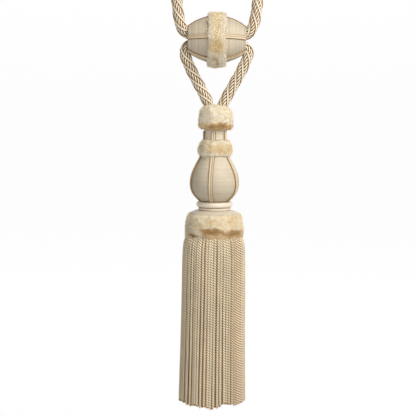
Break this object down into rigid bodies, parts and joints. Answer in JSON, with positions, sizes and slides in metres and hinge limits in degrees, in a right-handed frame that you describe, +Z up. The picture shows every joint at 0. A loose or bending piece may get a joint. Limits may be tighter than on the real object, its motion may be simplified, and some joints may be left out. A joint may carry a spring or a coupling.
{
  "type": "curtain tieback tassel",
  "caption": "Curtain tieback tassel: twisted rope loop, yarn-wound slider with a pile ruff, turned head with gimp cords and pile ruffs, and a bullion fringe skirt.",
  "frame": {"origin": "the point where a wall hook bears on the underside of the rope loop", "axes": "+Z up along the hanging tassel's axis, the front towards -Y, the slider's bore along X"},
  "size_m": [0.0914, 0.0672, 0.4548],
  "materials": {
    "rope": "satin yarn rope",
    "wound_yarn": "fine wound yarn",
    "gimp": "smooth wrapped cord",
    "pile": "cut pile, cream and tan",
    "satin": "satin wound",
    "bullion": "twisted satin cords"
  },
  "bodies": {
    "root": {"rope": "rope", "slider_barrel": "wound_yarn", "slider_gimp_1": "gimp", "slider_gimp_2": "gimp", "slider_gimp_3": "gimp", "slider_gimp_4": "gimp", "slider_gimp_5": "gimp", "slider_ruff": "pile", "head_ruff": "pile", "mould": "wound_yarn", "mould_gimp_1": "gimp", "mould_gimp_2": "gimp", "mould_gimp_3": "gimp", "mould_gimp_4": "gimp", "mould_gimp_5": "gimp", "neck_ruff": "pile", "ring_large": "satin", "ring_small": "satin", "shoulder": "satin", "skirt_ruff": "pile", "skirt": "bullion"}
  },
  "joints": []
}
